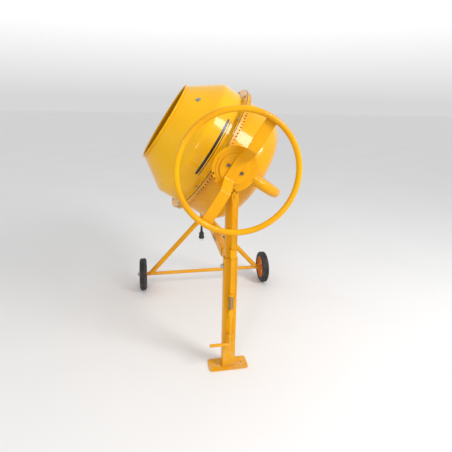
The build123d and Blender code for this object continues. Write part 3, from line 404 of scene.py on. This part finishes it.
def swept(path, radius, closed=True, ripple=0.0):
    """Points and faces of a round wire along a path, or of a weld bead where it has ripples."""
    steps = WIRE_SIDES
    points, faces = [], []
    count = len(path)
    run = 0.0
    for i, spot in enumerate(path):
        after = path[(i + 1) % count] if closed or i + 1 < count else path[i]
        before = path[i - 1] if closed or i else path[i]
        ahead = (after - before).normalized()
        steep = abs(ahead.z) >= 0.9
        side = (ahead.orthogonal() if steep else Vector((0, 0, 1)).cross(ahead)).normalized()
        other = ahead.cross(side)
        grow = radius * (1 + ripple * math.cos(2 * math.pi * run / RIPPLE_PITCH))
        run += (after - spot).length
        for k in range(steps):
            turn = 2 * math.pi * k / steps
            points.append(spot + (side * math.cos(turn) + other * math.sin(turn)) * grow)
    for i in range(count if closed else count - 1):
        j = (i + 1) % count
        for k in range(steps):
            m = (k + 1) % steps
            faces.append((i * steps + k, i * steps + m, j * steps + m, j * steps + k))
    if not closed:
        faces.append(tuple(reversed(range(steps))))
        faces.append(tuple((count - 1) * steps + k for k in range(steps)))
    return points, faces


def around(corners):
    """Points about a millimetre apart round a closed polygon of corners."""
    path = []
    for a, b in zip(corners, corners[1:] + corners[:1]):
        count = max(2, int((b - a).length / MM))
        path += [a.lerp(b, i / count) for i in range(count)]
    return path


# ---- camera --------------------------------------------------------------------------------------
YAW, PITCH, ROLL = (math.radians(v) for v in (10.84, -13.55, 1.16))
CAMERA_PLACE = (-0.32608, -1.49494, 1.20739)
ahead = Vector((math.sin(YAW) * math.cos(PITCH), math.cos(YAW) * math.cos(PITCH), math.sin(PITCH)))
level = Vector((math.cos(YAW), -math.sin(YAW), 0))
upward = level.cross(ahead)
right = level * math.cos(ROLL) + upward * math.sin(ROLL)
up = upward * math.cos(ROLL) - level * math.sin(ROLL)
camera = placed("camera", bpy.data.cameras.new("camera"))
camera.matrix_world = Matrix((
    (right.x, up.x, -ahead.x, CAMERA_PLACE[0]),
    (right.y, up.y, -ahead.y, CAMERA_PLACE[1]),
    (right.z, up.z, -ahead.z, CAMERA_PLACE[2]),
    (0, 0, 0, 1),
))
camera.data.sensor_width = 36
camera.data.lens = 30.1
camera.data.shift_x = 0.0070
camera.data.shift_y = -0.0801
camera.data.clip_start = 0.05
bpy.context.scene.camera = camera

# ---- mains lead: gland, cord, boot and plug ------------------------------------------------------
CORD_ROUTE = [(-8, 900, 612), (-11, 903, 556), (-15, 904, 498), (-13, 901, 442), (-8, 900, 392)]
CORD_D = 8 * MM
CORD_HOLE_R = 4.05 * MM  # round the cord, in the gland and in the plug's boot
DOWN = Vector((0, 0, -1))
cord_data = bpy.data.curves.new("mains_cord", "CURVE")
cord_data.dimensions = "3D"
cord_data.bevel_depth = CORD_D / 2
cord_data.bevel_resolution = 6
cord_data.resolution_u = 24
cord_data.use_fill_caps = True
spline = cord_data.splines.new("NURBS")
spline.points.add(len(CORD_ROUTE) - 1)
for point, spot in zip(spline.points, CORD_ROUTE):
    point.co = (*(v * MM for v in spot), 1)
spline.order_u = 3
spline.use_endpoint_u = True
cord_data.materials.append(LOOKS["rubber"])
cord = placed("mains_cord", cord_data)
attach(cord, "stand")
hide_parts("cord")

gland_low, gland_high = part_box("cable_gland")
gland_top = Vector((*middle("cable_gland").xy, gland_high.z))
gland_tall = gland_high.z - gland_low.z
NUT_TALL = 10 * MM
NUT_ACROSS_FLATS = 19.2 * MM
SLEEVE_RIBS = 7
SLEEVE_PITCH = 2.4 * MM
nut = [(0, 5 * MM), (0, 10.2 * MM), (1 * MM, 10.8 * MM), (9 * MM, 10.8 * MM),
       (NUT_TALL, 9.4 * MM)]
sleeve = []
for i in range(SLEEVE_RIBS):
    along = NUT_TALL + 0.5 * MM + i * SLEEVE_PITCH
    radius = (8.4 - 0.5 * i) * MM
    sleeve += [(along, radius), (along + 1.4 * MM, radius), (along + 1.8 * MM, radius - 1.2 * MM)]
profile = nut + sleeve + [(gland_tall, 4.3 * MM), (gland_tall, CORD_HOLE_R), (6 * MM, CORD_HOLE_R)]


def hex_nut(turn, along, radius):
    """The gland's nut is cut to six flats; its sleeve and its hole stay round."""
    if along > NUT_TALL - 0.5 * MM or radius < 9 * MM:
        return radius
    wedge = (turn + math.pi / 6) % (math.pi / 3) - math.pi / 6
    return min(radius, NUT_ACROSS_FLATS / 2 / math.cos(wedge))


gland = piece("cord_gland", *turned(profile, gland_top, DOWN, 72, shape=hex_nut), "box", "stand",
              "black_plastic")
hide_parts("cable_gland")

boot_low, boot_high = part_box("plug_boot")
boot_top = Vector((*middle("plug_boot").xy, boot_high.z))
boot_tall = boot_high.z - boot_low.z
BOOT_RIBS = 11
RIB_DEPTH = 0.9 * MM
rib_pitch = (boot_tall - 10 * MM) / BOOT_RIBS
profile = [(0, CORD_HOLE_R), (0, 5.4 * MM)]
for i in range(BOOT_RIBS):
    along = 3 * MM + i * rib_pitch
    radius = (6.0 + 3.3 * (along / boot_tall) ** 1.4) * MM
    profile += [(along, radius - RIB_DEPTH), (along + 0.25 * rib_pitch, radius),
                (along + 0.7 * rib_pitch, radius), (along + 0.9 * rib_pitch, radius - RIB_DEPTH)]
profile += [(boot_tall - 5 * MM, 9.3 * MM), (boot_tall, 9.5 * MM), (boot_tall, CORD_HOLE_R)]
boot = piece("plug_strain_relief", *turned(profile, boot_top, DOWN, 48), "rubber", "stand",
             "black_rubber")
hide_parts("plug_boot")

plug_low, plug_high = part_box("plug")
plug_top = Vector((*middle("plug").xy, plug_high.z))
plug_tall = plug_high.z - plug_low.z
plug_r = (plug_high.x - plug_low.x) / 2
GRIP_R = 17.6 * MM
GRIP_GROOVES = 18
GROOVE_DEPTH = 0.7 * MM
WAIST_DEPTH = 1.6 * MM
PLUG_EDGE = 1.2 * MM
AXIS_R = 0.001 * MM  # as good as on the axis
profile = [(0, AXIS_R), (0, 9.5 * MM), (1.2 * MM, 12.2 * MM), (4 * MM, 15 * MM), (8 * MM, 17.0 * MM),
           (12 * MM, GRIP_R), (30 * MM, GRIP_R), (31.5 * MM, plug_r), (plug_tall - PLUG_EDGE, plug_r),
           (plug_tall, plug_r - PLUG_EDGE), (plug_tall, AXIS_R)]


def grip(turn, along, radius):
    """The plug's middle is narrowed at two sides and grooved for the fingers."""
    if 9 * MM < along < 31 * MM:
        groove = GROOVE_DEPTH * (0.5 + 0.5 * math.cos(GRIP_GROOVES * turn))
        return radius - groove - WAIST_DEPTH * abs(math.sin(turn))
    return radius


plug = piece("mains_plug", *turned(profile, plug_top, DOWN, 144, closed=False, shape=grip), "box",
             "stand", "black_plastic")
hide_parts("plug")

# ---- tyres ---------------------------------------------------------------------------------------
TYRE_INNER_R = 68 * MM
TREAD_LUGS = 40
LUG_GAP = 0.28  # of a lug's pitch
TREAD_DEPTH = 2.4 * MM
for side, centre in WHEEL_CENTRES.items():
    low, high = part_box(f"tyre_{side}")
    half = (high.x - low.x) / 2
    outer = (high.z - low.z) / 2
    inner = TYRE_INNER_R
    wall = [(-half + 6 * MM, inner), (-half + 1.5 * MM, inner + 2 * MM), (-half, inner + 7 * MM),
            (-half + 1.2 * MM, inner + 9 * MM), (-half + 0.2 * MM, inner + 13 * MM),
            (-half + 0.4 * MM, inner + 18 * MM), (-half + 2.2 * MM, outer - 9 * MM),
            (-half + 4.5 * MM, outer - 4.5 * MM), (-half + 8 * MM, outer - 1.6 * MM)]
    crown = [(x * MM, outer) for x in (-12, -10.2, -10, -7, -6.8, -4, -3.8, -1.4, -1.2,
                                       1.2, 1.4, 3.8, 4, 6.8, 7, 10, 10.2, 12)]
    profile = wall + crown + [(-x, r) for x, r in reversed(wall)]

    def tread(turn, along, radius, outer=outer):
        """Three grooves round the tread, and gaps between the shoulder lugs."""
        across = abs(along) / MM
        if radius < outer - 6 * MM:
            return radius
        groove = across < 1.3 or 4.0 <= across <= 6.9
        lug = (turn * TREAD_LUGS / (2 * math.pi) + (0.5 if along > 0 else 0.0)) % 1.0
        return radius - (TREAD_DEPTH if groove or (across >= 7 and lug < LUG_GAP) else 0.0)

    made = piece(f"tyre_tread_{side}", *turned(profile, centre, Vector((1, 0, 0)), 280, shape=tread),
                 "tyre", f"wheel_{side}", "tyre_rubber", sharp=35)
    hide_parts(f"tyre_{side}")

# ---- drum: a black ring as painted shade in the seam between the two halves, and plain stripe ----
cone_points = [v.co - DRUM_CENTRE for v in NODES["drum_cone"].data.vertices]
FLANGE_R = max((p - MOUTH_DIR * p.dot(MOUTH_DIR)).length for p in cone_points)
SEAM_S = min(p.dot(MOUTH_DIR) for p in cone_points)
# A thin black ring just proud of the flange at the seam: a dark part standing in for the shade in the gap
# between the drum's halves.
SEAM_SHADE_HALF = 1.3 * MM
SEAM_SHADE_ROOT_R, SEAM_SHADE_SIDE_R, SEAM_SHADE_CROWN_R = FLANGE_R - 4 * MM, FLANGE_R + 0.8 * MM, FLANGE_R + 1.3 * MM
seam_shade_profile = [(SEAM_S - SEAM_SHADE_HALF, SEAM_SHADE_ROOT_R), (SEAM_S - SEAM_SHADE_HALF, SEAM_SHADE_SIDE_R), (SEAM_S, SEAM_SHADE_CROWN_R),
        (SEAM_S + SEAM_SHADE_HALF, SEAM_SHADE_SIDE_R), (SEAM_S + SEAM_SHADE_HALF, SEAM_SHADE_ROOT_R)]
piece("drum_seam_shade_ring", *turned(seam_shade_profile, DRUM_CENTRE, MOUTH_DIR, 240), "rubber", "drum", "black_rubber")


BAND_R = 303 * MM
STRIPE_TURNS = (58, 112)  # degrees round the drum
STRIPE_STEPS = 48
STRIPE_LIFT, STRIPE_THICK = 0.1 * MM, 0.25 * MM
ROUND_STEPS = 3  # at each end, where the film narrows to a rounded tip
TIP_WIDTH = 0.55


def stripe(name, low_s, high_s):
    """A thin film on the drum's band, between two distances along the drum's axis."""
    side = Vector((0, -1, 0))
    count = STRIPE_STEPS
    start, end = STRIPE_TURNS
    points, faces = [], []
    for i in range(count + 1):
        share = i / count
        turn = math.radians(start + (end - start) * share)
        out = ACROSS_DIR * math.cos(turn) + side * math.sin(turn)
        round_off = min(1.0, min(share, 1 - share) * count / ROUND_STEPS)
        middle_s = (low_s + high_s) / 2
        half = (high_s - low_s) / 2 * (TIP_WIDTH + (1 - TIP_WIDTH) * round_off ** 0.5)
        for s, reach in ((middle_s - half, STRIPE_LIFT), (middle_s + half, STRIPE_LIFT),
                         (middle_s + half, STRIPE_LIFT + STRIPE_THICK),
                         (middle_s - half, STRIPE_LIFT + STRIPE_THICK)):
            points.append(DRUM_CENTRE + MOUTH_DIR * s + out * (BAND_R + reach))
    for i in range(count):
        for k in range(4):
            m = (k + 1) % 4
            faces.append((i * 4 + k, i * 4 + m, i * 4 + 4 + m, i * 4 + 4 + k))
    faces += [(3, 2, 1, 0), tuple(count * 4 + k for k in range(4))]
    piece(name, points, faces, "decal", "drum", "black_plastic")


stripe("drum_stripe_wide", 90 * MM, 102 * MM)
stripe("drum_stripe_thin", 82 * MM, 85 * MM)

# ---- weld beads on the stand and the handwheel ---------------------------------------------------
WELD_RIPPLE = 0.16
SPOKE_WELD = 43 * MM
SPOKE_WELD_STEPS = 20


def weld(name, path, radius, body, closed=True):
    piece(name, *swept(path, radius, closed=closed, ripple=WELD_RIPPLE), "weld", body, "yellow_paint",
          sharp=80)


low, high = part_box("mast_sleeve")
plate_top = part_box("foot_plate")[1].z
corners = [Vector((x, y, plate_top)) for x, y in
           ((low.x, low.y), (high.x, low.y), (high.x, high.y), (low.x, high.y))]
weld("weld_foot", around(corners), 3.2 * MM, "stand")
low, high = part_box("crossbar_front")
corners = [Vector((x, low.y + 0.5 * MM, z)) for x, z in
           ((low.x, low.z), (high.x, low.z), (high.x, high.z), (low.x, high.z))]
weld("weld_crossbar", around(corners), 2.6 * MM, "stand")
ring_low, ring_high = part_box("handwheel_ring")
ring_y = (ring_low.y + ring_high.y) / 2
ring_r = (ring_high.z - ring_low.z) / 2 - (ring_high.y - ring_low.y) / 2
for sign, name in ((1, "weld_spoke_high"), (-1, "weld_spoke_low")):
    spot = Vector((0, ring_y + 2 * MM, TILT.z)) + ACROSS_DIR * sign * (ring_r - 11 * MM)
    path = [spot + MOUTH_DIR * (t / SPOKE_WELD_STEPS - 0.5) * SPOKE_WELD
            for t in range(SPOKE_WELD_STEPS + 1)]
    weld(name, path, 2.8 * MM, "tilt", closed=False)

# ---- lock spring: a wire coil in the lock spring's place, its foot on the upper rod guide and its head at the lock bar ------
WIRE_R = 1.6 * MM
COILS = 8
TURN_STEPS = 40
low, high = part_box("lock_spring")
spring_axis = (low + high) / 2
coil_r = (high.x - low.x) / 2 - WIRE_R
run_low, run_high = low.z + WIRE_R, high.z - WIRE_R
coil = []
for i in range(COILS * TURN_STEPS + 1):
    turn = 2 * math.pi * i / TURN_STEPS
    rise = run_low + (run_high - run_low) * i / (COILS * TURN_STEPS)
    coil.append(Vector((spring_axis.x + coil_r * math.cos(turn),
                        spring_axis.y + coil_r * math.sin(turn), rise)))
spring = piece("lock_spring_coil", *swept(coil, WIRE_R, closed=False), "spring", None, "zinc")
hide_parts("lock_spring")
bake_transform(spring)

# ---- floor and light -----------------------------------------------------------------------------
floor_mesh = bpy.data.meshes.new("floor")
EDGE = 30.0
floor_mesh.from_pydata([(-EDGE, -EDGE, 0), (EDGE, -EDGE, 0), (EDGE, EDGE, 0), (-EDGE, EDGE, 0)], [],
                       [(0, 1, 2, 3)])
floor = placed("floor", floor_mesh)
pale = Shader("pale_floor", rough=0.7)
pale.color(pale.mix(pale.span(pale.noise(1.5, 2), 0.3, 0.7), (0.80, 0.80, 0.80), (0.78, 0.78, 0.78)))
floor_mesh.materials.append(pale.material)

# A pale cove, as (height of the direction, brightness): the floor's tone at the horizon, bright
# above it and dimmer overhead.
COVE = ((0.0, 0.68), (0.16, 1.0), (0.30, 1.0), (0.55, 0.74))
world = bpy.data.worlds.new("studio")
world.use_nodes = True
sky = world.node_tree
direction = sky.nodes.new("ShaderNodeTexCoord")
parts = sky.nodes.new("ShaderNodeSeparateXYZ")
cove = sky.nodes.new("ShaderNodeValToRGB")
stops = cove.color_ramp.elements
for at, level in COVE[1:-1]:
    stops.new(at)
for stop, (at, level) in zip(stops, COVE):
    stop.position = at
    stop.color = (level, level, level, 1)
sky.links.new(direction.outputs["Generated"], parts.inputs[0])
sky.links.new(parts.outputs["Z"], cove.inputs["Fac"])
sky.links.new(cove.outputs["Color"], sky.nodes["Background"].inputs["Color"])
bpy.context.scene.world = world


def soft_light(name, place, target, size, power):
    """A round lamp at place that faces target."""
    data = bpy.data.lights.new(name, "AREA")
    data.shape = "DISK"
    data.size = size
    data.energy = power
    made = placed(name, data)
    made.location = place
    made.rotation_mode = "QUATERNION"
    made.rotation_quaternion = (Vector(target) - Vector(place)).to_track_quat("-Z", "Y")


soft_light("key", place=(1.95, -1.65, 2.45), target=(0, 0.35, 0.95), size=1.2, power=70)
soft_light("fill", place=(-1.4, -2.5, 1.66), target=(-0.1, 0.3, 0.9), size=0.5, power=13)
bpy.context.scene.view_settings.view_transform = "Standard"
